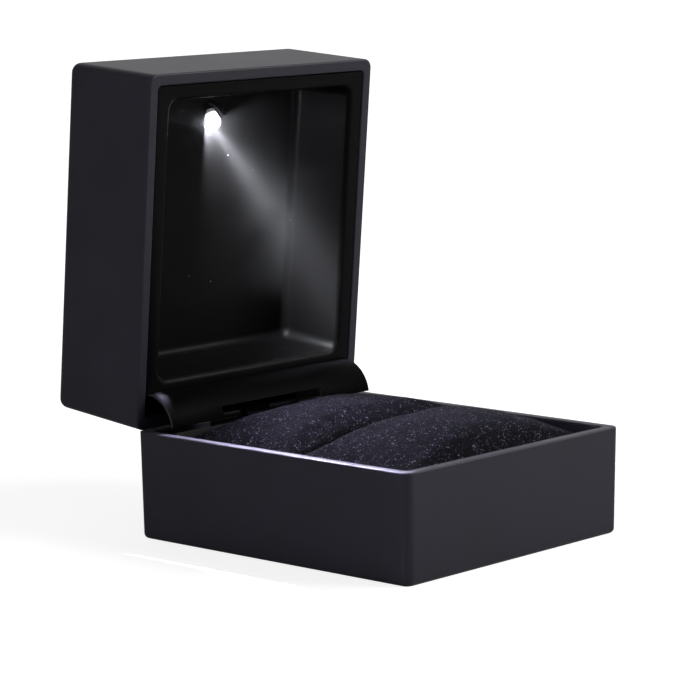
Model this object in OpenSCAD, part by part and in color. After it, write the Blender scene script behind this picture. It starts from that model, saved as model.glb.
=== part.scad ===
// Ring display box with a lamp in its lid, shown open.
// X runs along the hinge, -Y is the front, +Z is up. The origin is the centre of the underside.
// The lid's pieces are drawn standing upright behind the hinge: Y is the depth behind the lid's
// rim, and Z the height from the hinge edge. on_lid() then leans them to the open angle.

/* [Case] */
// Width of the box along the hinge
case_w = 60; // [56:1:72]
// Depth of the box, front to back
case_d = 66; // [62:1:80]
// Height of the base, up to the hinge line
base_h = 20; // [19:0.5:28]
// Depth of the lid, from its rim to its top
lid_h = 22; // [21.5:0.5:30]
// Thickness of the side walls at the rim
wall_t = 2.2; // [2:0.1:2.6]
// Thickness of the base's floor
floor_t = 2; // [1.5:0.1:2.5]
// Thickness of the lid's top
top_t = 2.3; // [1.8:0.1:2.8]
// Radius of the upright corners
corner_r = 1.8; // [1:0.1:3]
// Radius of the edges round the lid's top
edge_r = 2; // [1:0.1:2.5]
// Radius of the edges round the base's underside
foot_r = 0.9; // [0.6:0.1:2]
// Moulding draft of the walls, in degrees
draft = 0.75; // [0:0.25:1]
// Gap between the two rims when the box is shut
parting_gap = 0.1; // [0.1:0.05:0.4]
// Angle at which the open lid rests
lid_open = 85; // [75:1:90]

/* [Hinge] */
// Width of the hinge leaves
hinge_w = 24; // [22:1:30]
// Thickness of the hinge leaves
leaf_t = 0.6; // [0.4:0.1:0.8]
// Length of a leaf down its wall
leaf_len = 10; // [9.5:0.5:11]
// Distance of the fixing studs from the hinge line
stud_drop = 9; // [8.8:0.1:9.5]
// Distance between the two fixing studs of a leaf
stud_pitch = 16; // [14:1:17]
// Radius of the fixing studs
stud_r = 1; // [0.8:0.1:1.2]
// Outer radius of the rolled knuckles
knuckle_r = 1.6; // [1.4:0.1:1.8]
// Radius of the hinge pin
pin_r = 0.75; // [0.6:0.05:0.8]
// Radial running clearance of the pin
pin_clear = 0.05; // [0.02:0.01:0.08]
// Width of the middle knuckle, which is the cam
cam_w = 8; // [6:1:10]
// Distance of the cam's flats from the pin's axis
cam_flat = 1.25; // [1.2:0.05:1.4]
// Thickness of the snap spring
snap_t = 0.3; // [0.2:0.05:0.4]
// Width of the snap spring's tongue
snap_w = 5; // [3:0.5:6]

/* [Lid lining] */
// Depth of the lining's flat border below the lid's rim
border_drop = 0.6; // [0.4:0.1:1]
// Width of the border along the two sides
border_side = 3; // [2.6:0.1:4]
// Width of the border along the front edge
border_front = 2.4; // [2:0.1:4]
// Thickness of the moulded lining
liner_t = 1; // [0.8:0.1:1.2]
// Depth of the lining's back panel below the lid's rim
panel_depth = 14.2; // [13.8:0.1:14.4]
// Radius of the cove between the lining's walls and its panel
cove_r = 2; // [1.5:0.5:3]
// Outer radius of the curved hinge cover
cover_r = 6.8; // [6.6:0.1:7.2]
// Thickness of the hinge cover
cover_t = 0.5; // [0.4:0.1:0.7]

/* [Cushions] */
// Thickness of the card under the cushions
card_t = 0.8; // [0.6:0.1:1.2]
// Height of the card above the floor of the base
card_lift = 3; // [2:0.5:4]
// Height of the crowns above the hinge line
crown_rise = 4.6; // [3:0.2:5]
// Drop of the cushions' edges below the hinge line
edge_drop = 1; // [1:0.2:3]
// Further drop of the front cushion's edge along the front wall
front_dip = 1.5; // [1.5:0.1:3]
// Width of the slit that grips the ring
slit_w = 0.5; // [0.3:0.1:1]
// Share of the cushions' length that lies behind the slit
slit_place = 0.5; // [0.4:0.05:0.6]
// How far the cushions' sides draw in between their corners
draw_in = 0.5; // [0.2:0.1:1]

/* [Lamp] */
// Distance of the lamp below the front end of the recess
lamp_drop = 7.5; // [6.9:0.1:11]
// Radius of the bulb
bulb_r = 1.5; // [1.3:0.1:1.5]
// Angle of the lamp's axis from the back panel
lamp_tilt = 45; // [40:1:50]
// Inner radius of the lamp's hood, which is an eyelid over the bulb
hood_in = 3.1; // [2.8:0.1:3.2]
// Thickness of the lamp hood's wall
hood_t = 0.45; // [0.4:0.05:0.6]
// Width of the circuit board
board_w = 24; // [24:1:30]
// Length of the circuit board
board_len = 36; // [36:1:38]
// Thickness of the circuit board
board_t = 0.6; // [0.5:0.1:0.6]
// Radius of the button cell
cell_r = 10; // [6:0.5:10]
// Thickness of the button cell
cell_t = 1.6; // [1.2:0.1:1.6]

/* [Switch] */
// Distance of the switch from the lid's side
switch_in = 10.5; // [10:0.5:11.5]
// Height of the switch above the hinge line, up the open lid
switch_up = 4.4; // [4.2:0.1:4.5]
// Radius of the plunger
plunger_r = 0.9; // [0.6:0.1:0.9]
// Length of the plunger that stands out of the lid's rim
plunger_out = 1.5; // [1.3:0.1:1.6]
// Travel of the plunger
plunger_travel = 1.2; // [1:0.1:1.2]
// Radius of the insulated wires
wire_r = 0.45; // [0.3:0.05:0.5]

/* [Hidden] */
$fn = 64;
hull_fn = 32;
eps = 0.01;

// Clearances
fit = 0.2;          // loose fit of a piece in its recess
seat = 0.3;         // air left beside a soft or curved piece
sweep = 0.35;       // air left round the cover's path
notch_gap = 0.5;    // air left round the hinge barrel
knuckle_gap = 0.15; // air between two knuckles

// Case
rim_gap = parting_gap / 2;
slope = tan(draft);
rim_z = base_h - rim_gap;
hinge_y = case_d / 2;
in_r = max(corner_r - wall_t, 0.8);
leaf_off = seat;                             // leaf's stand-off from its wall
leaf_in = wall_t + leaf_off + leaf_t;        // depth of the leaf's inner face from the back
head_t = 0.6;
head_r = stud_r + 0.6;
boss_r = stud_r + 0.8;
notch_w = hinge_w + 1.6;
knuckle_len = (hinge_w - cam_w) / 2;
snap_in = leaf_in + snap_t;

// Cover: its tip stays clear of the base's wall beside the hinge, and of the spring on the hinge
relief = wall_t - 1.1;
cover_ir = cover_r - cover_t;
wall_low = wall_t - relief + cover_r * slope + seat;
tip_side = 180 + acos(wall_low / cover_r);
tip_mid = 180 + acos((snap_in + seat) / cover_r);
cover_gap = hinge_w / 2 + 1.5;
cover_half = case_w / 2 - wall_t - seat - 0.2;
cover_tab = 8;

// Lining, in the lid's own frame
border_back = border_drop + liner_t;
open_half = case_w / 2 - wall_t - border_side;
open_top = case_d - wall_t - border_front;
open_low = cover_r + liner_t + 0.5;
panel_back = panel_depth + liner_t;
lean = panel_depth * tan(2);
recess_r = cove_r + lean + 0.5;
lip_r = 0.6;
corner_n = 6;
cove_n = 6;
lip_n = 3;
ceiling = lid_h - top_t;
rib_w = 1.2;
rib_out = border_side - liner_t - 0.4;

// Cushions
card_z = floor_t + card_lift;
cushion_z = card_z + card_t;
edge_z = base_h - edge_drop;
crown_z = base_h + crown_rise;
cushion_half = case_w / 2 - wall_t - 0.6;
crown_part = open_half / cushion_half;       // beyond it, the cushions stay low under the lid's border
cushion_y0 = -case_d / 2 + wall_t + seat;
cushion_y1 = case_d / 2 - cover_r - seat - card_t - 0.2;
slit_y = cushion_y0 + (cushion_y1 - cushion_y0) * (1 - slit_place);
front_power = 2.6;  // a low power gives a long slope, a high one a steep edge
back_power = 2.6;
slit_power = 8;
end_power = 7;
swell = 0.85;       // below 1, the edges rise more steeply everywhere
cushion_nx = 32;
cushion_ny = 12;

// Lamp and circuit, in the lid's own frame
lamp_up = open_top - lamp_drop;
bulb_depth = panel_depth - 1.2;
hood_r = hood_in + hood_t;
hood_lift = 0.3;    // height of the hood's centre above the bulb's
hood_cut = 0.9;     // height of its lower edge above its centre
hood_slope = 0.2;   // rise of that edge away from the panel
bulb_len = 3.6;
leg_pitch = 1.27;
board_y = panel_back + 0.6;
board_back = board_y + board_t;
board_up = lamp_up - 15.9;
board_top = board_up + board_len / 2;
board_low = board_up - board_len / 2;
screw_x = board_w / 2 - 2.5;
screw_rows = [board_low + 2.5, board_top - 4];
screw_r = 0.7;
screw_len = 3;
chip = [3.2, 0.6, 1.6];
cell_up = board_up - 1;
cell_y = board_back + 0.3;
clip_t = 0.25;

// Switch, in the lid's own frame
switch_x = case_w / 2 - switch_in;
housing_w = 6;
housing_t = 2.6;
housing_y = border_back;
housing_len = 6;
pin_pitch = 2.4;
pin_len = 1.6;
tip_shut = rim_z + parting_gap - plunger_out + plunger_travel;
striker_z = tip_shut - 0.1;
bend_r = 3;
wire_y = board_back + wire_r;

module on_lid() {
    translate([0, hinge_y, base_h]) rotate([90 - lid_open, 0, 0]) translate([0, rim_gap, 0])
        children();
}

// Places children at the four corners of a rectangle
module corners(x, y) {
    for (sx = [-1, 1]) for (sy = [-1, 1]) translate([sx * x, sy * y, 0]) children();
}

// A drafted box with an open mouth on top, as moulded; r rounds the edges of its closed end
module case_shell(h, bottom_t, r) {
    low = r + (h - r) * slope;
    in_low = wall_t + in_r + (h - bottom_t) * slope;
    difference() {
        hull() {
            translate([0, 0, h - eps]) corners(case_w / 2 - corner_r, case_d / 2 - corner_r)
                cylinder(r = corner_r, h = eps, $fn = hull_fn);
            translate([0, 0, r]) corners(case_w / 2 - low, case_d / 2 - low) sphere(r = r, $fn = hull_fn);
            translate([low - case_w / 2, low - case_d / 2, 0])
                cube([case_w - 2 * low, case_d - 2 * low, eps]);
        }
        hull() {
            translate([0, 0, h]) corners(case_w / 2 - wall_t - in_r, case_d / 2 - wall_t - in_r)
                cylinder(r = in_r, h = 1, $fn = hull_fn);
            translate([0, 0, bottom_t]) corners(case_w / 2 - in_low, case_d / 2 - in_low)
                cylinder(r = in_r, h = eps, $fn = hull_fn);
        }
    }
}

// A boss and stud that stand on the back wall, with the head melted over leaf and spring.
// It points along -Y from the wall; stack is the thickness that the head holds down.
module wall_stud(stack) {
    rotate([90, 0, 0]) {
        translate([0, 0, -leaf_off - 0.8]) cylinder(r = boss_r, h = leaf_off + 0.8);
        cylinder(r = stud_r, h = stack + eps);
        translate([0, 0, stack]) intersection() {
            cylinder(r = head_r, h = head_t);
            translate([0, 0, head_t - head_r * 1.6]) sphere(r = head_r * 1.6);
        }
    }
}

// ---- Base ----

module striker() {
    reach = switch_up + plunger_r + 0.1;
    fall = base_h - striker_z;
    rotate([90, 0, 90]) translate([0, 0, switch_x - 2]) linear_extrude(4) polygon([
        [hinge_y - wall_t + 0.5, striker_z], [hinge_y - reach, striker_z],
        [hinge_y - reach, base_h - fall - 1], [hinge_y - wall_t + 0.5, base_h - fall - 3.4]]);
}

// The cover's own path, relieved into the back wall on both sides of the hinge
module cover_relief() {
    for (s = [-1, 1]) intersection() {
        translate([s * (cover_gap + cover_half + seat) / 2, hinge_y, base_h]) rotate([0, 90, 0])
            difference() {
                cylinder(r = cover_r + sweep, h = cover_half + seat - cover_gap + 0.6,
                    center = true);
                cylinder(r = cover_ir - sweep, h = case_w, center = true);
            }
        translate([-case_w / 2, hinge_y - wall_t - 3, base_h - cover_r - 2])
            cube([case_w, 3 + relief, cover_r]);
    }
}

module base_shell() color("#1c1c21") {
    difference() {
        case_shell(rim_z, floor_t, foot_r);
        translate([-notch_w / 2, hinge_y - wall_t - 1, base_h - knuckle_r - notch_gap])
            cube([notch_w, wall_t + 2, knuckle_r + 2]);
        cover_relief();
    }
    for (s = [-1, 1]) translate([s * stud_pitch / 2, hinge_y - wall_t - leaf_off,
        base_h - stud_drop]) wall_stud(leaf_t + snap_t);
    for (y = [-0.32, 0, 0.32]) translate([-case_w / 3, y * case_d - 0.6, floor_t - eps])
        cube([case_w * 2 / 3, 1.2, card_lift + eps]);
    striker();
}

module cushion_card() color("#17171a") {
    y0 = cushion_y0;
    y1 = cushion_y1 + 0.2;
    half = cushion_half;
    translate([-half, y0, card_z]) cube([2 * half, y1 + card_t - y0, card_t]);
    translate([-half, y1, card_z]) cube([2 * half, card_t, edge_z + 1 - card_z]);
}

// Fullness of a cushion from 0 at its edges to 1 at its crown; s and t run from -1 to 1
function fullness(s, t, p_low, p_high) =
    pow((1 - pow(min(1, abs(s) / crown_part), end_power)) * (1 - pow(abs(t), t < 0 ? p_low : p_high)),
        swell);
function inward(s) = 1 - s * s;

// Closed pillow form between y0 and y1. The powers set how steep its two long edges are, and dip
// lowers the edge at y0.
module cushion(y0, y1, p_low, p_high, dip) {
    nx = cushion_nx;
    ny = cushion_ny;
    half_y = (y1 - y0) / 2;
    mid_y = (y1 + y0) / 2;
    // Points lie closer together near the edges, where the form bends most
    function along(i, n) = sin(90 * (2 * i / n - 1));
    function edge(t) = edge_z - dip * (1 - t) / 2;
    function place(s, t, z, pull) = [
        s * (cushion_half - pull * inward(t)), mid_y + t * (half_y - pull * inward(s)), z];
    top = [for (j = [0:ny]) for (i = [0:nx]) let (s = along(i, nx), t = along(j, ny))
        place(s, t, edge(t) + (crown_z - edge(t)) * fullness(s, t, p_low, p_high), draw_in / 2)];
    loop = concat([for (i = [0:nx - 1]) [i, 0]], [for (j = [0:ny - 1]) [nx, j]],
        [for (i = [nx:-1:1]) [i, ny]], [for (j = [ny:-1:1]) [0, j]]);
    n = len(loop);
    // Two rings below the edge: half way down, nearly straight, and at the card, drawn in again
    sides = [for (k = [0, 1]) for (p = loop) let (t = along(p[1], ny))
        place(along(p[0], nx), t, k == 0 ? (edge(t) + cushion_z) / 2 : cushion_z,
            k == 0 ? draw_in / 10 : draw_in / 2)];
    base = len(top);
    centre = base + 2 * n;
    function at(i, j) = j * (nx + 1) + i;
    top_faces = [for (j = [0:ny - 1]) for (i = [0:nx - 1])
        each [[at(i, j), at(i, j + 1), at(i + 1, j + 1)], [at(i, j), at(i + 1, j + 1), at(i + 1, j)]]];
    rim = [for (p = loop) at(p[0], p[1])];
    rings = [rim, [for (k = [0:n - 1]) base + k], [for (k = [0:n - 1]) base + n + k]];
    side_faces = [for (r = [0, 1]) for (k = [0:n - 1]) let (m = (k + 1) % n)
        each [[rings[r][k], rings[r][m], rings[r + 1][m]], [rings[r][k], rings[r + 1][m], rings[r + 1][k]]]];
    bottom = [for (k = [0:n - 1]) [centre, rings[2][k], rings[2][(k + 1) % n]]];
    polyhedron(concat(top, sides, [[0, mid_y, cushion_z]]), concat(top_faces, side_faces, bottom));
}

module cushion_front() color("#23232e")
    cushion(cushion_y0, slit_y - slit_w / 2, front_power, slit_power, front_dip);

module cushion_rear() color("#23232e")
    cushion(slit_y + slit_w / 2, cushion_y1, slit_power, back_power, 0);

// A leaf against its wall, with its tab turned out to the barrel. It is drawn for the base:
// the barrel lies on the X axis, and the leaf hangs below it on the -Y side.
module leaf(parts) {
    difference() {
        union() {
            translate([-hinge_w / 2, -leaf_in, -knuckle_r - leaf_len])
                cube([hinge_w, leaf_t, leaf_len + leaf_t]);
            for (p = parts) translate([p[0], -leaf_in, -knuckle_r]) cube([p[1], leaf_in, leaf_t]);
        }
        for (s = [-1, 1]) translate([s * stud_pitch / 2, 0, -stud_drop]) rotate([90, 0, 0])
            cylinder(r = stud_r + 0.1, h = leaf_in + 1);
    }
}

module knuckle(x, w) {
    translate([x, 0, 0]) rotate([0, 90, 0]) difference() {
        cylinder(r = knuckle_r, h = w);
        translate([0, 0, -1]) cylinder(r = pin_r + pin_clear, h = w + 2);
    }
}

module bore_cut() {
    rotate([0, 90, 0]) cylinder(r = pin_r + pin_clear, h = hinge_w + 2, center = true);
}

module hinge_leaf_base() color("#303034") translate([0, hinge_y, base_h]) {
    w = knuckle_len - knuckle_gap;
    parts = [[-hinge_w / 2, w], [cam_w / 2 + knuckle_gap, w]];
    difference() {
        union() {
            leaf(parts);
            for (p = parts) knuckle(p[0], p[1]);
        }
        bore_cut();
    }
}

module hinge_pin() color("#38383c") translate([0, hinge_y, base_h]) rotate([0, 90, 0]) {
    cylinder(r = pin_r, h = hinge_w + 0.4, center = true);
    for (s = [-1, 1]) translate([0, 0, s * (hinge_w / 2 + 0.35)])
        cylinder(r = pin_r + 0.3, h = 0.4, center = true);
}

// Flat spring under the base leaf's stud heads, whose tongue bears on the cam
module snap_spring() color("#2b2e37") translate([0, hinge_y, base_h]) {
    face = -knuckle_r - 0.05;
    step = -knuckle_r + leaf_t + 0.35;
    top = knuckle_r - leaf_t - rim_gap - 0.3;
    foot_w = stud_pitch + 2 * head_r + 1;
    difference() {
        translate([-foot_w / 2, -snap_in, -knuckle_r - leaf_len]) cube([foot_w, snap_t, 4.6]);
        for (s = [-1, 1]) translate([s * stud_pitch / 2, 0, -stud_drop]) rotate([90, 0, 0])
            cylinder(r = stud_r + 0.1, h = snap_in + 1);
    }
    rotate([90, 0, 90]) translate([0, 0, -snap_w / 2]) linear_extrude(snap_w) polygon([
        [-snap_in, -stud_drop], [-leaf_in, -stud_drop], [-leaf_in, step],
        [face - snap_t, step], [face - snap_t / 2, step], [face, step + snap_t / 2],
        [face, top], [face - snap_t, top], [face - snap_t, step + snap_t],
        [-snap_in, step + snap_t]]);
}

// ---- Lid, standing upright in its own frame ----

module lid_rib(x, z, turn) {
    translate([x, 0, z]) rotate([0, turn, 0]) translate([-rib_out, border_back, -rib_w / 2])
        cube([rib_out + 0.8, ceiling - border_back + 0.5, rib_w]);
}

module lid_shell() color("#1c1c21") on_lid() {
    side = case_w / 2 - wall_t;
    difference() {
        translate([0, lid_h, case_d / 2]) rotate([90, 0, 0]) case_shell(lid_h, top_t, edge_r);
        translate([-notch_w / 2, -2, -1])
            cube([notch_w, knuckle_r + notch_gap + 2 - rim_gap, wall_t + 2]);
    }
    for (z = [0.25, 0.55, 0.85]) {
        lid_rib(side, z * case_d, 0);
        lid_rib(-side, z * case_d, 180);
    }
    for (s = [-1, 1]) translate([s * stud_pitch / 2, stud_drop - rim_gap, wall_t + leaf_off])
        rotate([-90, 0, 0]) wall_stud(leaf_t);
    for (z = screw_rows) for (s = [-1, 1]) translate([s * screw_x, ceiling + 0.3, z])
        rotate([90, 0, 0]) difference() {
            cylinder(r = 2, h = ceiling + 0.3 - board_back);
            translate([0, 0, 0.4]) cylinder(r = screw_r + 0.05, h = ceiling);
        }
    // Seat of the switch on the hinge wall
    translate([switch_x - housing_w / 2, housing_y, wall_t - 0.5])
        cube([housing_w, housing_len, switch_up - housing_t / 2 - wall_t + 0.5]);
}

// A ring of points round a rounded rectangle at depth y
function lining_ring(x1, z0, z1, r, y) = [for (q = [0:3]) for (k = [0:corner_n])
    let (a = 90 * (q + k / corner_n)) [(q == 0 || q == 3 ? 1 : -1) * (x1 - r) + r * cos(a), y,
        (q < 2 ? z1 - r : z0 + r) + r * sin(a)]];
// The same round the lining's opening, moved outwards by d
function open_ring(d, y) =
    lining_ring(open_half + d, open_low - d, open_top + d, recess_r + d, y);

// One sheet, lofted through rings from the panel's face over the lip and border to the panel's back
module lid_lining() color("#0c0c0f") on_lid() {
    half = case_w / 2 - wall_t - fit;
    top = case_d - wall_t - fit;
    bed = panel_depth - cove_r;
    back_r = cove_r + liner_t;
    rings = concat(
        [for (k = [cove_n:-1:0]) let (a = 90 * k / cove_n)
            open_ring(-lean - cove_r * (1 - cos(a)), bed + cove_r * sin(a))],
        [for (k = [lip_n:-1:0]) let (a = 90 * k / lip_n)
            open_ring(lip_r * (1 - sin(a)), border_drop + lip_r * (1 - cos(a)))],
        [for (y = [border_drop, border_back]) lining_ring(half, cover_r, top, in_r, y)],
        [open_ring(liner_t, border_back)],
        [for (k = [0:cove_n]) let (a = 90 * k / cove_n)
            open_ring(-lean - cove_r + back_r * cos(a), bed + back_r * sin(a))]);
    n = 4 * (corner_n + 1);
    last = len(rings) - 1;
    centre = n * (last + 1);
    mid = (open_low + open_top) / 2;
    walls = [for (j = [0:last - 1]) for (k = [0:n - 1]) let (m = (k + 1) % n, a = j * n, b = a + n)
        each [[a + k, a + m, b + m], [a + k, b + m, b + k]]];
    panel = [for (k = [0:n - 1]) let (m = (k + 1) % n)
        each [[centre, m, k], [centre + 1, last * n + k, last * n + m]]];
    difference() {
        polyhedron(concat([for (ring = rings) each ring],
            [[0, panel_depth, mid], [0, panel_back, mid]]), concat(walls, panel));
        on_lamp() translate([0, 0, -8]) cylinder(r = bulb_r + 0.1, h = 12);
    }
}

// Outline of the bent cover in the lid's depth and height, up to the tip's angle on the barrel's far side
module cover_outline(tip) {
    far = 3 * cover_r;
    intersection() {
        difference() {
            union() {
                circle(r = cover_r);
                square([cover_tab + 1, cover_r]);
            }
            circle(r = cover_ir);
            translate([0, -1]) square([cover_tab + 2, cover_ir + 1]);
        }
        polygon([[0, 0], [cover_tab, 0], [cover_tab, far], [-far, far], [far * cos(tip), far * sin(tip)]]);
    }
}

module hinge_cover() color("#141417") on_lid() translate([0, -rim_gap, 0]) rotate([90, 0, 90])
    difference() {
        translate([0, 0, -cover_half]) linear_extrude(2 * cover_half) cover_outline(tip_side - 90);
        // Shorter over the hinge itself
        translate([0, 0, -cover_gap]) linear_extrude(2 * cover_gap) polygon([[0, 0],
            [-cover_r * 3 * sin(tip_mid - 180), cover_r * 3 * cos(tip_mid - 180)],
            [-cover_r * 3, 0]]);
    }

module hinge_leaf_lid() color("#303034") on_lid() translate([0, -rim_gap, 0]) {
    tab = [[-cam_w / 2, cam_w]];
    difference() {
        union() {
            rotate([-90, 0, 0]) mirror([0, 0, 1]) leaf(tab);
            difference() {
                knuckle(-cam_w / 2, cam_w);
                // The cam's two flats face the spring when the lid is shut and when it is open
                for (a = [90, 90 + lid_open]) rotate([a, 0, 0])
                    translate([-cam_w, cam_flat, -knuckle_r * 2]) cube([cam_w * 2, 2, knuckle_r * 4]);
            }
        }
        bore_cut();
    }
}

// Local frame of the lamp: the origin at the bulb's centre, +Z along the light
module on_lamp() {
    translate([0, bulb_depth, lamp_up]) rotate([180 - lamp_tilt, 0, 0]) children();
}

// An eyelid over the bulb: part of a round shell that stands on the panel, open below
module lamp_hood() color("#101013") on_lid() translate([0, panel_depth, lamp_up + hood_lift]) {
    reach = hood_r + 1;
    intersection() {
        difference() {
            sphere(r = hood_r);
            sphere(r = hood_in);
        }
        rotate([90, 0, 90]) translate([0, 0, -reach]) linear_extrude(2 * reach) polygon([
            [0, hood_cut], [0, reach], [-reach, reach], [-reach, hood_cut + hood_slope * reach]]);
    }
}

module lamp_bulb() color([0.95, 0.97, 1, 0.7]) on_lid() on_lamp() {
    sphere(r = bulb_r);
    translate([0, 0, -(bulb_len - bulb_r)]) cylinder(r = bulb_r, h = bulb_len - bulb_r);
}

module lamp_legs() color("#c8c8c8") on_lid() {
    back = bulb_len - bulb_r;
    end_y = bulb_depth + back * cos(lamp_tilt);
    end_z = lamp_up + back * sin(lamp_tilt);
    difference() {
        for (s = [-1, 1]) translate([s * leg_pitch / 2, end_y - 0.5, end_z]) rotate([-90, 0, 0])
            cylinder(r = 0.25, h = board_y - end_y + 0.5, $fn = 24);
        on_lamp() translate([0, 0, -back]) cylinder(r = bulb_r, h = back);
    }
}

module circuit_board() color("#1f5a36") on_lid() difference() {
    translate([-board_w / 2, board_y, board_low]) cube([board_w, board_t, board_len]);
    for (z = screw_rows) for (s = [-1, 1]) translate([s * screw_x, board_y - 1, z])
        rotate([-90, 0, 0]) cylinder(r = screw_r + 0.1, h = board_t + 2);
}

module board_screws() color("#b5b5b8") on_lid()
    for (z = screw_rows) for (s = [-1, 1]) translate([s * screw_x, board_y, z])
        rotate([-90, 0, 0]) {
            translate([0, 0, -0.5]) cylinder(r = 1.4, h = 0.5);
            cylinder(r = screw_r, h = screw_len);
        }

module resistor() color("#22222a") on_lid()
    translate([2, board_back, board_top - 7]) cube(chip);

module cell_holder() color("#2b2b2e") on_lid() translate([0, board_back, cell_up])
    rotate([-90, 0, 0]) difference() {
        cylinder(r = cell_r + 1.1, h = cell_t + 0.2);
        translate([0, 0, -1]) cylinder(r = cell_r + 0.1, h = cell_t + 3);
        translate([-cell_r * 0.6, -cell_r - 3, -1]) cube([cell_r * 1.2, 6, cell_t + 3]);
    }

module cell_seat() color("#cfcfd2") on_lid() translate([0, board_back, cell_up])
    rotate([-90, 0, 0]) {
        cylinder(r = cell_r * 0.45, h = 0.1);
        cylinder(r = cell_r * 0.3, h = cell_y - board_back);
    }

module button_cell() color("#d4d4d6") on_lid() translate([0, cell_y, cell_up])
    rotate([-90, 0, 0]) {
        cylinder(r = cell_r - 1, h = 0.2);
        translate([0, 0, 0.2]) cylinder(r = cell_r, h = cell_t - 0.2);
    }

// Strap over the cell, with a foot soldered to the board on each side
module cell_clip() color("#cfcfd2") on_lid() translate([0, board_back, cell_up - 2]) {
    out = cell_r + 1.2;
    foot = board_w / 2 - out;
    high = cell_y - board_back + cell_t;
    translate([-out, high, 0]) cube([2 * out, clip_t, 4]);
    for (s = [-1, 1]) {
        translate([s > 0 ? out - eps : -out - clip_t, 0, 0]) cube([clip_t + eps, high + clip_t, 4]);
        translate([s > 0 ? out : -out - foot, 0, 0]) cube([foot, clip_t, 4]);
    }
}

module switch_housing() color("#202024") on_lid() difference() {
    translate([switch_x - housing_w / 2, housing_y, switch_up - housing_t / 2])
        cube([housing_w, housing_len, housing_t]);
    translate([switch_x, housing_y - 1, switch_up]) rotate([-90, 0, 0])
        cylinder(r = plunger_r + 0.05, h = housing_len);
}

module switch_pins() color("#d0d0d2") on_lid() for (s = [-1, 1])
    translate([switch_x + s * pin_pitch / 2, housing_y + housing_len, switch_up])
        rotate([-90, 0, 0]) cylinder(r = 0.3, h = pin_len, $fn = 24);

module quarter_bend() {
    rotate_extrude(angle = 90) translate([bend_r, 0]) circle(r = wire_r, $fn = 24);
}

// From the switch to the back of the lid, up to the board's height and across onto it
module switch_wires() color("#8c1f1f") on_lid() for (k = [0, 1]) {
    x = switch_x + (k - 0.5) * pin_pitch;
    start = housing_y + housing_len + pin_len;
    rise = board_low + 6.5 + k * 3;
    end_x = board_w / 2 - 2;
    translate([x, start, switch_up]) rotate([-90, 0, 0])
        cylinder(r = wire_r, h = wire_y - bend_r - start, $fn = 24);
    translate([x, wire_y - bend_r, switch_up + bend_r]) rotate([0, 90, 0])
        quarter_bend();
    translate([x, wire_y, switch_up + bend_r])
        cylinder(r = wire_r, h = rise - switch_up - 2 * bend_r, $fn = 24);
    translate([x - bend_r, wire_y, rise - bend_r]) rotate([90, 0, 0]) quarter_bend();
    translate([end_x, wire_y, rise]) rotate([0, 90, 0])
        cylinder(r = wire_r, h = x - bend_r - end_x, $fn = 24);
}

module switch_plunger() color("#e4e4e2") on_lid() translate([switch_x, -plunger_out, switch_up])
    rotate([-90, 0, 0]) {
        translate([0, 0, plunger_r]) sphere(r = plunger_r);
        translate([0, 0, plunger_r])
            cylinder(r = plunger_r, h = plunger_out + housing_y + 3 - plunger_r);
    }

base_shell();
cushion_card();
cushion_front();
cushion_rear();
hinge_leaf_base();
hinge_pin();
snap_spring();
lid_shell();
lid_lining();
hinge_cover();
hinge_leaf_lid();
lamp_hood();
lamp_bulb();
lamp_legs();
circuit_board();
board_screws();
resistor();
cell_holder();
button_cell();
cell_seat();
cell_clip();
switch_housing();
switch_pins();
switch_wires();
switch_plunger();
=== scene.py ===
import math
import bmesh
import bpy
from mathutils import Matrix, Vector, noise


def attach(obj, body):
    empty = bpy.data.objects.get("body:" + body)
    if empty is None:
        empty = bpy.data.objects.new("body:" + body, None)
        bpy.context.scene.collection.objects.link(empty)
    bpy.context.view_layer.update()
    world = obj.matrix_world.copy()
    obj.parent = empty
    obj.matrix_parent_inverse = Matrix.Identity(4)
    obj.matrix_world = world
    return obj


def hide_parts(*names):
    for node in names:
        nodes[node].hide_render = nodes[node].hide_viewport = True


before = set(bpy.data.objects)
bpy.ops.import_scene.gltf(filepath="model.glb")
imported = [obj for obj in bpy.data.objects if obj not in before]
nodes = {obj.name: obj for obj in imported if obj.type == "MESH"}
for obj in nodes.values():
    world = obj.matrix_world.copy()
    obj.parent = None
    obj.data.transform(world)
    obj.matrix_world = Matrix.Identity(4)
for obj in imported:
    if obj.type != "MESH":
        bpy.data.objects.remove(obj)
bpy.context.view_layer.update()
scene = bpy.context.scene
MM = 0.001


def link(name, data):
    """Puts data into the scene as an object of that name."""
    made = bpy.data.objects.new(name, data)
    scene.collection.objects.link(made)
    return made


# ---- Camera: fitted to the corners of the case and of its lid ----
eye = Vector((-0.416313, -0.367899, 0.118966))
look = Vector((0.734885, 0.661415, -0.149915)).normalized()
roll = math.radians(-0.617)
level_right = look.cross(Vector((0, 0, 1))).normalized()
right = level_right * math.cos(roll) + level_right.cross(look) * math.sin(roll)
camera = link("camera", bpy.data.cameras.new("camera"))
camera.matrix_world = Matrix((right, right.cross(look), -look)).transposed().to_4x4()
camera.location = eye
camera.data.sensor_width = 36.0
camera.data.lens = 3060.41 / 700 * 36.0
camera.data.clip_start = 0.01
scene.camera = camera

# ---- Measures of the case, in millimetres, as the frame has them ----
HALF_W, HALF_D, BASE_H, LID_H = 30.0, 33.0, 20.0, 22.0
WALL, FLOOR_T, TOP_T = 2.2, 2.0, 2.3
DRAFT = math.tan(math.radians(0.75))
OPEN = 85.0
# Between each rim and the plane in which they meet, and what the lacquer on the rim takes of it
RIM_GAP, COAT = 0.05, 0.048
# The corners of a moulded box inside and outside, and the easing of its rim
INNER_CORNER, OUTER_CORNER, RIM_EASE = 0.8, 1.8, 0.35
# The hinge's barrel, half its notch in both rims, and the ends of the relief where the cover passes the base's wall
BARREL_R, NOTCH, RELIEF = 1.6, 12.8, (13.2, 27.5)
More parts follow.
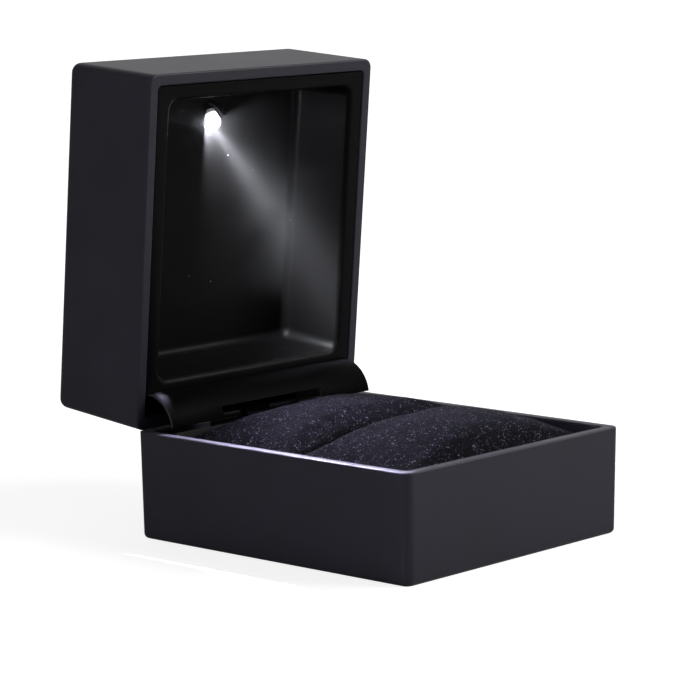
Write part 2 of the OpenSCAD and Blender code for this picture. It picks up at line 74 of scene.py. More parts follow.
# How far the cover bends round the barrel over the hinge, and how much further beside it, in degrees
BEND_MID, BEND_SIDE = 57.0, 20.3
# The melted studs that hold the hinge's leaves, from the middle and from the rim
STUD_X, STUD_DROP = 8, 9
# The lining's sheet: its depth behind the lid's rim at its border and at its panel, and its half width and its
# two ends in height, at its outline and at the mouth of its recess
BORDER_AT, PANEL_AT = 0.6, 14.2
OUTLINE, MOUTH = (27.6, 6.8, 63.6), (24.8, 8.3, 61.4)
# How far the recess narrows on each side from its mouth to its panel
NARROWING = 0.5
# The height of the lamp, and the hood's radius
LAMP_UP, HOOD_R = 53.9, 3.32
# The thickness of the lining, the hinge cover and the lamp's hood
SHEET = 0.5
# The lid's own frame, in millimetres: X, depth behind its rim, and height from the hinge
LID_SPACE = (Matrix.Translation(Vector((0, HALF_D, BASE_H)) * MM)
             @ Matrix.Rotation(math.radians(90 - OPEN), 4, "X")
             @ Matrix.Translation(Vector((0, RIM_GAP, 0)) * MM)
             @ Matrix.Scale(MM, 4))
BASE_SPACE = Matrix.Scale(MM, 4)

# ---- Materials ----
NOISE, CELLS, RAMP = "ShaderNodeTexNoise", "ShaderNodeTexVoronoi", "ShaderNodeValToRGB"
MATH, VECTORS, RANGE = "ShaderNodeMath", "ShaderNodeVectorMath", "ShaderNodeMapRange"
MIX, BUMP = "ShaderNodeMix", "ShaderNodeBump"
# A pattern's scale counts cells in a metre, so this is the scale of one cell in each millimetre
PER_MM = 1000.0


def linear(hex_colour):
    """sRGB hex to the linear colour that the shaders take."""
    parts = [int(hex_colour[i:i + 2], 16) / 255 for i in (1, 3, 5)]
    return tuple(p / 12.92 if p <= 0.04045 else ((p + 0.055) / 1.055) ** 2.4 for p in parts) + (1.0,)


def put(tree, kind, feeds=(), stops=(), **settings):
    """Adds a node to the tree. Settings name its options or input sockets. Feeds pair a socket with a value, an
    output, or a node that feeds it by its first output. Stops are a ramp's places, with hex colours or greys."""
    made = tree.nodes.new(kind)
    for key, value in settings.items():
        if hasattr(made, key):
            setattr(made, key, value)
        else:
            made.inputs[key.replace("_", " ")].default_value = value
    for socket, given in feeds:
        if isinstance(given, bpy.types.Node):
            given = given.outputs[0]
        if isinstance(given, bpy.types.NodeSocket):
            tree.links.new(given, made.inputs[socket])
        else:
            made.inputs[socket].default_value = given
    for count, (place, tone) in enumerate(stops):
        if count:
            stop = made.color_ramp.elements.new(place)
        else:
            made.color_ramp.elements.remove(made.color_ramp.elements[1])
            stop = made.color_ramp.elements[0]
            stop.position = place
        stop.color = linear(tone) if isinstance(tone, str) else (tone, tone, tone, 1.0)
    return made


def finish_of(name, **settings):
    """A new material with the constants of its Principled shader. Returns it, its tree, and Object coordinates."""
    material = bpy.data.materials.new(name)
    material.use_nodes = True
    tree = material.node_tree
    for key, value in settings.items():
        tree.nodes["Principled BSDF"].inputs[key.replace("_", " ")].default_value = value
    return material, tree, put(tree, "ShaderNodeTexCoord").outputs["Object"]


def shade(tree, **sources):
    """Feeds the Principled shader's sockets, each from an output or from a node's first one."""
    for key, given in sources.items():
        output = given.outputs[0] if isinstance(given, bpy.types.Node) else given
        tree.links.new(output, tree.nodes["Principled BSDF"].inputs[key.replace("_", " ")])


def grained(tree, field, tones, rough, height, strength, distance):
    """Colour between two tones and roughness between two values by one field, and bumps by another."""
    shade(tree, Base_Color=put(tree, RAMP, [("Fac", field)], [(0.3, tones[0]), (0.7, tones[1])]),
          Roughness=put(tree, RANGE, [("Value", field)], To_Min=rough[0], To_Max=rough[1]),
          Normal=put(tree, BUMP, [("Height", height)], Strength=strength, Distance=distance))


def soft_touch_lacquer():
    # Moulded ABS under a soft-touch rubber lacquer: matt, with a fine even grain of spray mist and a slow change
    # of depth, 14 mm across, where hands have polished it. The mist is drawn 0.24 mm wide, so that it shows
    material, tree, at = finish_of("soft_touch_lacquered_abs", IOR=1.5, Specular_IOR_Level=0.4,
                                   Sheen_Weight=0.04, Sheen_Roughness=0.6)
    cloud = put(tree, NOISE, [("Vector", at)], Scale=0.07 * PER_MM, Detail=4.0)
    mist = put(tree, NOISE, [("Vector", at)], Scale=4.2 * PER_MM, Detail=2.0)
    grained(tree, cloud, ("#1d1b27", "#232130"), (0.42, 0.54), mist, 0.25, 0.00003)
    return material


def vacuum_formed_sheet():
    # Black polystyrene sheet, vacuum formed: satin gloss with the slow waves of a drawn sheet, 9 mm long, a haze
    # that changes each millimetre, and specks of dust of 0.1 to 0.2 mm that the static holds here and there
    material, tree, at = finish_of("vacuum_formed_polystyrene", IOR=1.55, Specular_IOR_Level=0.06)
    wave = put(tree, NOISE, [("Vector", at)], Scale=0.11 * PER_MM, Detail=1.0)
    haze = put(tree, NOISE, [("Vector", at)], Scale=0.9 * PER_MM, Detail=3.0)
    dust = put(tree, CELLS, [("Vector", at)], Scale=0.42 * PER_MM)
    rare = put(tree, NOISE, [("Vector", at)], Scale=0.38 * PER_MM, Detail=0.0)
    speck = put(tree, RAMP, [("Fac", dust)], [(0.035, 1), (0.07, 0)])
    few = put(tree, RAMP, [("Fac", rare)], [(0.6, 0), (0.68, 1)])
    dusty = put(tree, MATH, [(0, speck), (1, few)], operation="MULTIPLY")
    colour = put(tree, MIX, [(0, dusty), (6, linear("#090909")), (7, linear("#6d6d76"))], data_type="RGBA")
    shade(tree, Base_Color=colour.outputs[2],
          Roughness=put(tree, RANGE, [("Value", haze)], To_Min=0.36, To_Max=0.48),
          Normal=put(tree, BUMP, [("Height", wave)], Strength=0.35, Distance=0.0006))
    return material


def bent_sheet():
    # Black polyvinyl sheet bent warm: satin, with fine drawing lines along the bend. They are 17 mm long, and
    # drawn 0.7 mm apart, so that they show
    material, tree, at = finish_of("bent_black_vinyl_sheet", IOR=1.5, Specular_IOR_Level=0.02)
    run = put(tree, "ShaderNodeMapping", [("Vector", at)], Scale=(0.06 * PER_MM, 1.5 * PER_MM, 1.5 * PER_MM))
    lines = put(tree, NOISE, [("Vector", run)], Scale=1.0, Detail=3.0)
    grained(tree, lines, ("#040405", "#070708"), (0.45, 0.58), lines, 0.15, 0.00003)
    return material


def flocked_velvet():
    # Nylon flock on a knitted ground: deep navy black, a soft sheen at its edges, a nap brushed into tufts of
    # 1.4 mm, and the tips of the fibres catch the light as fine sparkle. Real fibres stand closer than a pixel,
    # so they are drawn about 0.4 mm apart and their bright tips 0.36 mm apart, so that they show
    material, tree, at = finish_of("flocked_nylon_velvet", IOR=1.46, Specular_IOR_Level=0.12,
                                   Sheen_Weight=0.03, Sheen_Roughness=0.45, Sheen_Tint=linear("#8f92bd"))
    pile = put(tree, NOISE, [("Vector", at)], Scale=2.4 * PER_MM, Detail=4.0, Roughness=0.8)
    nap = put(tree, NOISE, [("Vector", at)], Scale=0.7 * PER_MM, Detail=3.0)
    tips = put(tree, CELLS, [("Vector", at)], Scale=2.8 * PER_MM)
    spark = put(tree, RAMP, [("Fac", tips)], [(0.1, 1), (0.42, 0)])
    pick = put(tree, "ShaderNodeSeparateColor", [(0, tips.outputs["Color"])])
    rare = put(tree, RAMP, [("Fac", pick)], [(0.3, 0), (0.8, 0.25), (1.0, 1)])
    tuft = put(tree, RAMP, [("Fac", nap)], [(0.4, 0.25), (0.6, 1)])
    some = put(tree, MATH, [(0, rare), (1, tuft)], operation="MULTIPLY")
    lit = put(tree, MATH, [(0, spark), (1, some)], operation="MULTIPLY")
    blend = put(tree, MATH, [(0, pile), (1, nap)], operation="MULTIPLY")
    ground = put(tree, RAMP, [("Fac", blend)], [(0.16, "#020204"), (0.25, "#09080e"), (0.36, "#161320")])
    colour = put(tree, MIX, [(0, lit), (6, ground), (7, linear("#c3c4e0"))], data_type="RGBA")
    bump = put(tree, BUMP, [("Height", pile)], Strength=1.0, Distance=0.0003)
    # Each fibre's tip faces its own way, so that only some of them glint at the lamp
    askew = put(tree, VECTORS, [(0, tips.outputs["Color"]), (1, (0.5, 0.5, 0.5))], operation="SUBTRACT")
    steep = put(tree, MATH, [(0, lit), (1, 1.8)], operation="MULTIPLY")
    lean = put(tree, VECTORS, [(0, askew), ("Scale", steep)], operation="SCALE")
    facing = put(tree, VECTORS, [(0, lean), (1, bump)], operation="ADD")
    shade(tree, Base_Color=colour.outputs[2], Metallic=lit,
          Roughness=put(tree, RANGE, [("Value", lit)], To_Min=0.85, To_Max=0.32),
          Normal=put(tree, VECTORS, [(0, facing)], operation="NORMALIZE"))
    return material


def metal(name, low, high, rough_low, rough_high, stretch, grain_mm):
    """Bare or plated metal, with grain drawn out along its rolling or turning direction."""
    material, tree, at = finish_of(name, Metallic=1.0)
    run = put(tree, "ShaderNodeMapping", [("Vector", at)], Scale=tuple(s * PER_MM / grain_mm for s in stretch))
    grain = put(tree, NOISE, [("Vector", run)], Scale=1.0, Detail=4.0)
    grained(tree, grain, (low, high), (rough_low, rough_high), grain, 0.2, 0.00002)
    return material


def moulding(name, low, high, rough_low, rough_high, grain_mm, ior=1.5):
    """Moulded or pressed stuff with an even grain in its colour, gloss and surface."""
    material, tree, at = finish_of(name, IOR=ior)
    grain = put(tree, NOISE, [("Vector", at)], Scale=PER_MM / grain_mm, Detail=4.0)
    grained(tree, grain, (low, high), (rough_low, rough_high), grain, 0.3, 0.00004)
    return material


def lit_epoxy():
    # Water-clear epoxy lamp body, lit cool white from the die inside: brightest within 1.7 mm of the die, with
    # a faint cast of flow marks 1 mm wide
    material, tree, at = finish_of("lit_clear_epoxy", IOR=1.53, Roughness=0.12)
    die = nodes["lamp_bulb"].matrix_world.inverted() @ (LID_SPACE @ Vector((0, 13, LAMP_UP)))
    away = put(tree, VECTORS, [(0, at), (1, die)], operation="DISTANCE")
    glow = put(tree, NOISE, [("Vector", at)], Scale=0.9 * PER_MM)
    shade(tree,
          Emission_Strength=put(tree, RANGE, [("Value", away.outputs["Value"])], interpolation_type="SMOOTHSTEP",
                                From_Min=0.0017, From_Max=0.0022, To_Min=4.0, To_Max=0.1),
          Emission_Color=put(tree, RAMP, [("Fac", glow)], [(0.2, "#eef2ff"), (0.8, "#ffffff")]),
          Base_Color=put(tree, RAMP, [("Fac", glow)], [(0.2, "#dfe6f5"), (0.8, "#f2f5fb")]))
    return material


lacquer = soft_touch_lacquer()
formed = vacuum_formed_sheet()
bent = bent_sheet()
velvet = flocked_velvet()
# Black-dyed greyboard: dull, with the loose fibre of paper pulp
card = moulding("dyed_greyboard", "#08080a", "#111113", 0.8, 0.95, 0.35)
# Pressed steel under black nickel: dark, with the rolled grain along the leaf
nickel = metal("black_nickel_pressed_steel", "#26262a", "#36363b", 0.26, 0.4, (0.08, 1, 1), 0.12)
# Blue-tempered spring strip: bluer and smoother than the leaves
tempered = metal("tempered_spring_steel", "#23262f", "#30343f", 0.22, 0.3, (1, 1, 0.08), 0.1)
# Moulded nylon of the lamp's hood: dull, and dark grey, paler than the lining as painted light for the lamp lighting
# its inside
nylon = moulding("moulded_nylon_painted_lit_grey", "#34343a", "#46464d", 0.55, 0.7, 0.2, 1.53)
# Tinned copper wire: soft, greyish, lightly dulled
tinned = metal("tinned_copper_wire", "#b5b7b8", "#cdcfcf", 0.3, 0.45, (1, 1, 1), 0.1)
# Glass-cloth laminate under green solder mask: the cloth shows through as a fine mottle
board_green = moulding("solder_masked_glass_laminate", "#12472a", "#1d6a3d", 0.3, 0.42, 0.5, 1.55)
# Sintered chip with a printed glass coat
chip = moulding("glazed_chip_resistor", "#141417", "#212126", 0.3, 0.4, 0.15)
# Glass-filled black nylon of the cell's holder and the switch
filled = moulding("glass_filled_nylon", "#1b1b1d", "#2a2a2d", 0.45, 0.6, 0.25, 1.53)
# Drawn and tumbled stainless can of the button cell
stainless = metal("drawn_stainless_can", "#b9babb", "#d2d2d2", 0.2, 0.3, (1, 1, 1), 0.25)
# Phosphor bronze strip under nickel: springy, with a warm tone
strip = metal("nickel_plated_bronze_strip", "#bdb9ad", "#d3cfc3", 0.22, 0.34, (0.1, 1, 1), 0.12)
# Extruded soft vinyl insulation: smooth, with a slight orange peel
insulation = moulding("extruded_vinyl_insulation", "#7c1717", "#981f1f", 0.35, 0.45, 0.3, 1.52)
# Moulded acetal: milky white and slippery
acetal = moulding("moulded_acetal", "#d9d9d4", "#e8e8e3", 0.3, 0.4, 0.4, 1.48)
# The cut edge of the vinyl sheet, paler than the sheet: a painted highlight where the lamp's light catches that edge
edge_painted_highlight = moulding("vinyl_edge_painted_highlight", "#1f1f23", "#2f2f35", 0.4, 0.6, 0.2)
epoxy = lit_epoxy()

kept = {"cushion_card": card, "hinge_leaf_base": nickel, "hinge_pin": nickel, "snap_spring": tempered,
        "hinge_leaf_lid": nickel, "lamp_legs": tinned, "circuit_board": board_green,
        "board_screws": nickel, "resistor": chip, "cell_holder": filled, "button_cell": stainless,
        "cell_seat": strip, "cell_clip": strip, "switch_housing": filled, "switch_pins": tinned,
        "switch_wires": insulation, "switch_plunger": acetal, "base_shell": lacquer,
        "lid_shell": lacquer, "lid_lining": formed, "hinge_cover": bent, "lamp_hood": nylon,
        "lamp_bulb": epoxy, "cushion_front": velvet, "cushion_rear": velvet}
for name, material in kept.items():
    nodes[name].data.materials.clear()
    nodes[name].data.materials.append(material)


# ---- Making pieces ----
def mesh_of(name, shape, space):
    """Turns a bmesh in millimetres into a mesh in the space given, with its faces outwards."""
    bmesh.ops.transform(shape, matrix=space, verts=shape.verts)
    bmesh.ops.recalc_face_normals(shape, faces=shape.faces)
    mesh = bpy.data.meshes.new(name)
    shape.to_mesh(mesh)
    shape.free()
    return mesh


def piece(name, shape, space, body, material, stands_for=(), smooth_below=40):
    """Makes a bmesh a finished piece at the origin, and lets it ride on its body."""
    mesh = mesh_of(name, shape, space)
    mesh.set_sharp_from_angle(angle=math.radians(smooth_below))
    mesh.materials.append(material)
    made = link(name, mesh)
    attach(made, body)
    if stands_for:
        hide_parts(*stands_for)
    return made


def block(shape, low, high):
    """A box from corner to corner. Returns its new vertices."""
    low, high = Vector(low), Vector(high)
    made = bmesh.ops.create_cube(shape, size=1.0)["verts"]
    bmesh.ops.scale(shape, vec=high - low, verts=made)
    bmesh.ops.translate(shape, vec=(low + high) / 2, verts=made)
    return made


def rod(shape, radius, near, far, x, z):
    """A round rod along Y from near to far, with its axis at x and z."""
    made = bmesh.ops.create_cone(shape, cap_ends=True, segments=24, radius1=radius, radius2=radius,
                                 depth=far - near)["verts"]
    bmesh.ops.translate(shape, vec=(0, 0, (near + far) / 2), verts=made)
    bmesh.ops.rotate(shape, matrix=Matrix.Rotation(math.radians(-90), 3, "X"), verts=made)
    bmesh.ops.translate(shape, vec=(x, 0, z), verts=made)


def round_edges(shape, edges, radius, segments):
    bmesh.ops.bevel(shape, geom=list(edges), offset=radius, offset_type="OFFSET", segments=segments,
                    profile=0.5, affect="EDGES", clamp_overlap=True, material=-1)
    shape.normal_update()


def settle(target):
    """Applies the target's modifiers to its mesh."""
    shown = target.evaluated_get(bpy.context.evaluated_depsgraph_get())
    finished = bpy.data.meshes.new_from_object(shown)
    target.modifiers.clear()
    target.data = finished


def even_shading(target):
    target.modifiers.new("even_shading", "WEIGHTED_NORMAL").keep_sharp = True


def walled(target, offset):
    """Gives a sheet its thickness, inwards with offset -1 or to both sides with 0. Returns the modifier."""
    wall = target.modifiers.new("wall", "SOLIDIFY")
    wall.thickness = SHEET * MM
    wall.offset = offset
    return wall


def eased(target, width, segments):
    ease = target.modifiers.new("eased", "BEVEL")
    ease.width = width * MM
    ease.segments = segments
    ease.limit_method = "ANGLE"


def carve(target, space, *boxes):
    """Cuts boxes, each given by two corners, out of the target's mesh."""
    cutters = []
    for low, high in boxes:
        shape = bmesh.new()
        block(shape, low, high)
        cutters.append(link("cutter", mesh_of("cutter", shape, space)))
        cut = target.modifiers.new("cut", "BOOLEAN")
        cut.operation = "DIFFERENCE"
        cut.solver = "EXACT"
        cut.object = cutters[-1]
    settle(target)
    for cutter in cutters:
        bpy.data.objects.remove(cutter)
    even_shading(target)


# ---- The moulded case: two drafted boxes with eased rims ----
def moulded_box(height, bottom, end_r, back):
    """Open box with drafted walls: its closed end at z 0, with edges of radius end_r, and its mouth at height.
    The rim's outer edge stays crisp on its back side, where the two rims turn on each other."""
    shape = bmesh.new()
    block(shape, (-HALF_W, -HALF_D, 0), (HALF_W, HALF_D, height))
    foot, drop = height * DRAFT, height - bottom
    for v in shape.verts:
        if v.co.z < 0.01:
            v.co.x -= math.copysign(foot, v.co.x)
            v.co.y -= math.copysign(foot, v.co.y)
    mouth = max(shape.faces, key=lambda f: f.calc_center_median().z)
    bmesh.ops.inset_region(shape, faces=[mouth], thickness=WALL, use_even_offset=True)
    pulled = bmesh.ops.extrude_face_region(shape, geom=[mouth])["geom"]
    sunk = [g for g in pulled if isinstance(g, bmesh.types.BMVert)]
    bmesh.ops.delete(shape, geom=[mouth], context="FACES_ONLY")
    for v in sunk:
        v.co.x -= math.copysign(drop * DRAFT, v.co.x)
        v.co.y -= math.copysign(drop * DRAFT, v.co.y)
        v.co.z -= drop
    shape.normal_update()
    for inside, radius, segments in ((True, INNER_CORNER, 5), (False, OUTER_CORNER, 8)):
        uprights = [e for e in shape.edges if abs(e.verts[0].co.z - e.verts[1].co.z) > 1
                    and (abs(e.verts[0].co.x) < HALF_W - 1) == inside]
        round_edges(shape, uprights, radius, segments)
    end = [e for e in shape.edges if e.verts[0].co.z < 0.01 and e.verts[1].co.z < 0.01]
    round_edges(shape, end, end_r, 6)
    rim = [e for e in shape.edges if min(v.co.z for v in e.verts) > height - 0.01
           and {round(abs(f.normal.z)) for f in e.link_faces} == {0, 1}
           and min(v.co.y * back for v in e.verts) < HALF_D - OUTER_CORNER - 0.05]
    round_edges(shape, rim, RIM_EASE, 4)
    return shape


def stud(shape, x, wall_y, z, stack, out):
    """Boss, pin and melted head on a back wall. The pin points along out, which is -1 or 1 in Y."""
    for radius, a, b in ((1.8, -0.8, 0.0), (1.0, 0.0, stack)):
        rod(shape, radius, wall_y + min(a * out, b * out), wall_y + max(a * out, b * out), x, z)
    dome = bmesh.ops.create_uvsphere(shape, u_segments=24, v_segments=12, radius=1.6)["verts"]
    bmesh.ops.scale(shape, vec=(1, 0.36, 1), verts=dome)
    bmesh.ops.translate(shape, vec=(x, wall_y + stack * out, z), verts=dome)


base = piece("case_base", moulded_box(BASE_H - RIM_GAP + COAT, FLOOR_T, 0.9, 1), BASE_SPACE, "base", lacquer,
             ["base_shell"])
carve(base, BASE_SPACE, ((-NOTCH, HALF_D - WALL - 1, BASE_H - BARREL_R - 0.5), (NOTCH, HALF_D + 1, BASE_H + 1)),
      *[((min(s * a for a in RELIEF), HALF_D - WALL - 1, 12.9), (max(s * a for a in RELIEF), HALF_D - 1.1, 14.5))
        for s in (-1, 1)])
fittings = bmesh.new()
for side in (-1, 1):
    stud(fittings, side * STUD_X, HALF_D - WALL - 0.3, BASE_H - STUD_DROP, 0.9, -1)
# Ribs under the cushions' card, and the wedge that presses the switch's plunger
for y in (-21.12, 0, 21.12):
    block(fittings, (-20, y - 0.6, FLOOR_T - 0.1), (20, y + 0.6, 5.0))
wedge = block(fittings, (17.5, 27.6, 15.0), (21.5, 31.3, 19.65))
for v in wedge:
    if v.co.z < 16:
        v.co.z = 18.55 if v.co.y < 29 else 16.2
piece("case_base_studs", fittings, BASE_SPACE, "base", lacquer)

lid_shape = moulded_box(LID_H + COAT, TOP_T, 2.0, -1)
bmesh.ops.rotate(lid_shape, matrix=Matrix.Rotation(math.radians(90), 3, "X"), verts=lid_shape.verts)
bmesh.ops.translate(lid_shape, vec=(0, LID_H, HALF_D), verts=lid_shape.verts)
lid = piece("case_lid", lid_shape, LID_SPACE, "lid", lacquer, ["lid_shell"])
carve(lid, LID_SPACE, ((-NOTCH, -2, -1), (NOTCH, BARREL_R + 0.5 - RIM_GAP, WALL + 1)))
fittings = bmesh.new()
for side in (-1, 1):
    stud(fittings, side * STUD_X, STUD_DROP - RIM_GAP, WALL + 0.3, 0.6, 1)
    # Side ribs behind the lining's border, and posts that carry the circuit board
    for height in (16.5, 36.3, 56.1):
        block(fittings, (min(side * 26.2, side * 28.4), 1.6, height - 0.6),
              (max(side * 26.2, side * 28.4), 20, height + 0.6))
    for height in (22.5, 52.0):
        rod(fittings, 2.0, 15.8, 20.0, side * 9.5, height)
# The seat of the switch's housing
block(fittings, (16.5, 1.6, 1.7), (22.5, 7.6, 3.1))
piece("case_lid_bosses", fittings, LID_SPACE, "lid", lacquer)


# ---- Lining of the lid: one drawn sheet with a border, a recess, coves and a panel ----
def lining_sheet():
    shape = bmesh.new()
    half, low, high = OUTLINE
    plate = shape.faces.new([shape.verts.new((x, BORDER_AT, z)) for x, z in
                             ((-half, low), (half, low), (half, high), (-half, high))])
    bmesh.ops.inset_region(shape, faces=[plate], thickness=1.2, use_boundary=True)
    half, low, high = MOUTH
    for v in plate.verts:
        v.co.x = math.copysign(half, v.co.x)
        v.co.z = low if v.co.z < HALF_W else high
    pushed = bmesh.ops.extrude_face_region(shape, geom=[plate])["geom"]
    deep = [g for g in pushed if isinstance(g, bmesh.types.BMVert)]
    bmesh.ops.delete(shape, geom=[plate], context="FACES_ONLY")
    for v in deep:
        v.co.x -= math.copysign(NARROWING, v.co.x)
        v.co.y = PANEL_AT
        v.co.z = low + NARROWING if v.co.z < HALF_W else high - NARROWING
    shape.normal_update()
    corners = [e for e in shape.edges if abs(e.verts[0].co.y - e.verts[1].co.y) > 5]
    round_edges(shape, corners, 2.6, 6)
    cove = [e for e in shape.edges if min(v.co.y for v in e.verts) > PANEL_AT - 0.1
            and any(abs(f.normal.y) < 0.5 for f in e.link_faces)]
    round_edges(shape, cove, 2.0, 8)
    mouth = [e for e in shape.edges if max(v.co.y for v in e.verts) < BORDER_AT + 0.01
             and any(abs(f.normal.y) < 0.5 for f in e.link_faces)]
    round_edges(shape, mouth, 0.6, 4)
    return shape


lining = piece("lid_lining_sheet", lining_sheet(), LID_SPACE, "lid", formed, ["lid_lining"], 50)
walled(lining, -1)
even_shading(lining)


# ---- Hinge cover: a sheet bent round the barrel, shorter over the hinge itself ----
def cover_sheet():
    shape = bmesh.new()
    radius, half, gap = 6.55, 27.1, 13.5
    start = [shape.verts.new((x, -RIM_GAP, radius)) for x in (-half, -gap, gap, half)]
    edges = [shape.edges.new(pair) for pair in zip(start, start[1:])]
    tab = bmesh.ops.extrude_edge_only(shape, edges=edges)["geom"]
    bmesh.ops.translate(shape, vec=(0, 8 + RIM_GAP, 0), verts=[g for g in tab if isinstance(g, bmesh.types.BMVert)])
    for angle, steps in ((BEND_MID, 18), (BEND_SIDE, 7)):
        swept = bmesh.ops.spin(shape, geom=edges + list({v for e in edges for v in e.verts}), cent=(0, -RIM_GAP, 0),
                               axis=(1, 0, 0), angle=math.radians(angle), steps=steps, use_duplicate=False)
        # Only the two sides go on
        edges = [g for g in swept["geom_last"] if isinstance(g, bmesh.types.BMEdge)
                 and min(abs(v.co.x) for v in g.verts) > gap - 0.1 and g.verts[0].co.x * g.verts[1].co.x > 0]
    bmesh.ops.remove_doubles(shape, verts=shape.verts, dist=0.001)
    return shape


cover = piece("hinge_cover_sheet", cover_sheet(), LID_SPACE, "lid", bent, ["hinge_cover"], 50)
# The cover's cut edges take the paler material, a painted highlight
cover.data.materials.append(edge_painted_highlight)
walled(cover, 0).material_offset_rim = 1
eased(cover, 0.1, 2)


# ---- Lamp: an eyelid hood, part of a round shell over the bulb, open below ----
def hood_shell():
    """A sphere cut off below the bulb, slantwise at its right, and at the panel."""
    shape = bmesh.new()
    bmesh.ops.create_uvsphere(shape, u_segments=64, v_segments=40, radius=HOOD_R)
    for point, out in (((0, 0, 0.5), (0, -0.2, -1)), ((0.9, 0, 0), (-1, 0, -0.5)), ((0, 0, 0), (0, 1, 0))):
        bmesh.ops.bisect_plane(shape, geom=shape.verts[:] + shape.edges[:] + shape.faces[:], plane_co=point,
                               plane_no=out, clear_outer=True)
    bmesh.ops.translate(shape, vec=(0, PANEL_AT - 0.01, LAMP_UP + 0.3), verts=shape.verts)
    return shape


# The hood's grey is painted light, standing in for its lit inside
hood = piece("lamp_hood_shell", hood_shell(), LID_SPACE, "lid", nylon, ["lamp_hood"], 60)
walled(hood, 0)
eased(hood, 0.2, 3)

# ---- Cushions: two padded blocks of flocked cloth, blown up by the cloth solver ----
# Half their length and of the part that rises, the card under them, their crown, and their height at the walls
CUSHION_HALF, CROWN_HALF, CARD_TOP, CROWN, EDGE = 27.2, 24.8, 5.8, 24.5, 19.2
# How much larger the solver sees them, and how far it may move a point at that size, in metres
GROW, SWELL = 10.0, 0.0055


def fullness(s, t, p_low, p_high):
    """From 1 in the middle to 0 at the walls. The powers say how late it falls off towards the front and back."""
    inside = min(1.0, abs(s) * CUSHION_HALF / CROWN_HALF)
    return ((1 - inside ** 2.3) * (1 - abs(t) ** (p_low if t < 0 else p_high))) ** 0.85


def cushion_blank(y0, y1, p_low, p_high, dip):
    """The foam block under the cloth: flat below, crowned above, its sides drawn in between the corners."""
    shape = bmesh.new()
    block(shape, (-1, -1, 0), (1, 1, 1))
    bmesh.ops.subdivide_edges(shape, edges=shape.edges, cuts=47, use_grid_fill=True)
    half_y, mid_y = (y1 - y0) / 2, (y1 + y0) / 2
    for v in shape.verts:
        s, t, up = v.co
        edge = EDGE - dip * (1 - t) / 2
        pull = 0.35 * (1 - up * 0.5)
        top = edge + (CROWN - 0.55 - edge) * fullness(s, t, p_low, p_high)
        v.co = (s * (CUSHION_HALF - 0.15 - pull * (1 - t * t)),
                mid_y + t * (half_y - 0.15 - pull * (1 - s * s)),
                CARD_TOP + (top - CARD_TOP) * up)
    return shape


def inflate(pad):
    """Runs the cloth solver on a larger copy of the pad, holds its underside, and caps how far it swells."""
    solid = pad.data.copy()
    rest = link("rest", solid)
    solid.transform(Matrix.Scale(GROW, 4))
    voxel = rest.modifiers.new("voxels", "REMESH")
    voxel.mode = "VOXEL"
    voxel.voxel_size = 0.0085
    settle(rest)
    start = [v.co.copy() for v in rest.data.vertices]
    held = rest.vertex_groups.new(name="held")
    held.add([i for i, c in enumerate(start) if c.z < 0.12], 1.0, "REPLACE")
    cloth = rest.modifiers.new("cloth", "CLOTH")
    cloth.settings.quality = 6
    cloth.settings.mass = 0.3
    cloth.settings.tension_stiffness = 14
    cloth.settings.compression_stiffness = 10
    cloth.settings.bending_stiffness = 0.4
    cloth.settings.use_pressure = True
    cloth.settings.uniform_pressure_force = 4.0
    cloth.settings.effector_weights.gravity = 0
    cloth.settings.vertex_group_mass = "held"
    for step in range(1, 21):
        scene.frame_set(step)
    blown = rest.evaluated_get(bpy.context.evaluated_depsgraph_get()).to_mesh()
    ends = [v.co.copy() for v in blown.vertices]
    rest.modifiers.clear()
    scene.frame_set(1)
    for v, a, b in zip(rest.data.vertices, start, ends):
        move = b - a
        if move.length > SWELL:
            move *= SWELL / move.length
        v.co = a + move
    result = rest.data
    result.transform(Matrix.Scale(1 / GROW, 4))
    bpy.data.objects.remove(rest)
    return result


def cushion(node, y0, y1, p_low, p_high, dip, seed):
    made = piece(node + "_pad", cushion_blank(y0, y1, p_low, p_high, dip), BASE_SPACE, "base", velvet,
                 [node], 180)
    made.data = inflate(made)
    made.data.materials.clear()
    made.data.materials.append(velvet)
    for v in made.data.vertices:
        up = max(0.0, min(1.0, (v.co.z / MM - 16) / 5))
        ripple = noise.noise(Vector((v.co.x, v.co.y * 1.6, seed * 0.01)) * 110)
        fine = noise.noise(Vector((v.co.x, v.co.y, seed * 0.02)) * 320)
        v.co.z += (0.28 * ripple + 0.08 * fine) * up * MM
        v.co.x = max(-CUSHION_HALF, min(CUSHION_HALF, v.co.x / MM)) * MM
        v.co.y = max(y0 - 0.1, min(y1 + 0.1, v.co.y / MM)) * MM
        v.co.z = max(CARD_TOP, v.co.z / MM) * MM
    for face in made.data.polygons:
        face.use_smooth = True
    fine = made.modifiers.new("fine", "SUBSURF")
    fine.levels = fine.render_levels = 1


cushion("cushion_front", -30.5, -3.05, 2.6, 8, 1.5, 3)
cushion("cushion_rear", -2.55, 24.9, 8, 2.0, 0, 8)

# ---- Light: level studio light on a pale floor ----
scene.view_settings.view_transform = "Standard"
scene.world = bpy.data.worlds.new("studio")
scene.world.use_nodes = True
sky = scene.world.node_tree
rays = put(sky, "ShaderNodeLightPath").outputs
seen = put(sky, MATH, [(0, rays["Is Camera Ray"]), (1, rays["Is Transmission Ray"])], operation="MAXIMUM")
# Paler towards the far right, where the tops of the case mirror it
sight = put(sky, "ShaderNodeTexCoord").outputs["Generated"]
facing = put(sky, VECTORS, [(0, sight), (1, Vector((0.73, 0.64, 0.23)))], operation="DOT_PRODUCT")
ambient = put(sky, RANGE, [("Value", facing.outputs["Value"])], interpolation_type="SMOOTHSTEP",
              From_Min=0.6, From_Max=1.0, To_Min=0.12, To_Max=0.75)
strength = put(sky, MATH, [(0, ambient), (1, seen)], operation="MAXIMUM")
sky.links.new(strength.outputs[0], sky.nodes["Background"].inputs["Strength"])
sky.nodes["Background"].inputs["Color"].default_value = linear("#ffffff")


def light_of(name, kind, power, colour="#ffffff"):
    light = bpy.data.lights.new(name, kind)
    light.energy = power
    light.color = linear(colour)[:3]
    return link(name, light)


